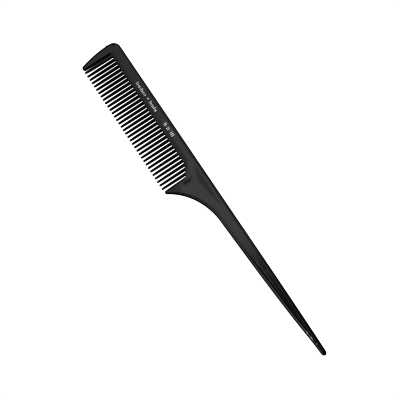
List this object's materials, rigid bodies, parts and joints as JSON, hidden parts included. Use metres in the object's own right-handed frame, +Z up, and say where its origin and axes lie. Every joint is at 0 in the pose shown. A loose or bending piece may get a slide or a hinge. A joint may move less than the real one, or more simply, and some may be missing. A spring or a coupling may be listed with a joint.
{
  "type": "rat tail comb",
  "caption": "Flat black plastic hair comb: a blade with one row of fine teeth between two guards, running straight into a long tapered tail.",
  "frame": {"origin": "centre of the comb's overall box in X and Y, at the underside of the flat band that it lies on", "axes": "+X along the comb from the head end to the tip of the tail, +Y from the tooth tips towards the straight outer edge, +Z up through the thickness, out of the face with the foil marks"},
  "size_m": [0.2162, 0.0258, 0.004],
  "materials": {
    "black_plastic": "moulded black plastic with a satin face, polished bevels and fine handling wear",
    "pale_foil": "pale grey hot-stamped foil, slightly uneven"
  },
  "bodies": {
    "root": {"head_end": "black_plastic", "front_guard": "black_plastic", "spine": "black_plastic", "spine_shoulder": "black_plastic", "heel": "black_plastic", "heel_guard": "black_plastic", "tail": "black_plastic", "tail_tip": "black_plastic", "gate_stub": "black_plastic", "tooth_01": "black_plastic", "tooth_02": "black_plastic", "tooth_03": "black_plastic", "tooth_04": "black_plastic", "tooth_05": "black_plastic", "tooth_06": "black_plastic", "tooth_07": "black_plastic", "tooth_08": "black_plastic", "tooth_09": "black_plastic", "tooth_10": "black_plastic", "tooth_11": "black_plastic", "tooth_12": "black_plastic", "tooth_13": "black_plastic", "tooth_14": "black_plastic", "tooth_15": "black_plastic", "tooth_16": "black_plastic", "tooth_17": "black_plastic", "tooth_18": "black_plastic", "tooth_19": "black_plastic", "tooth_20": "black_plastic", "tooth_21": "black_plastic", "tooth_22": "black_plastic", "tooth_23": "black_plastic", "tooth_24": "black_plastic", "tooth_25": "black_plastic", "tooth_26": "black_plastic", "tooth_27": "black_plastic", "tooth_28": "black_plastic", "tooth_29": "black_plastic", "tooth_30": "black_plastic", "tooth_31": "black_plastic", "tooth_32": "black_plastic", "tooth_33": "black_plastic", "tooth_34": "black_plastic", "tooth_35": "black_plastic", "foil_marks_long": "pale_foil", "foil_dot": "pale_foil", "foil_marks_short": "pale_foil", "foil_marks_end": "pale_foil"}
  },
  "joints": []
}
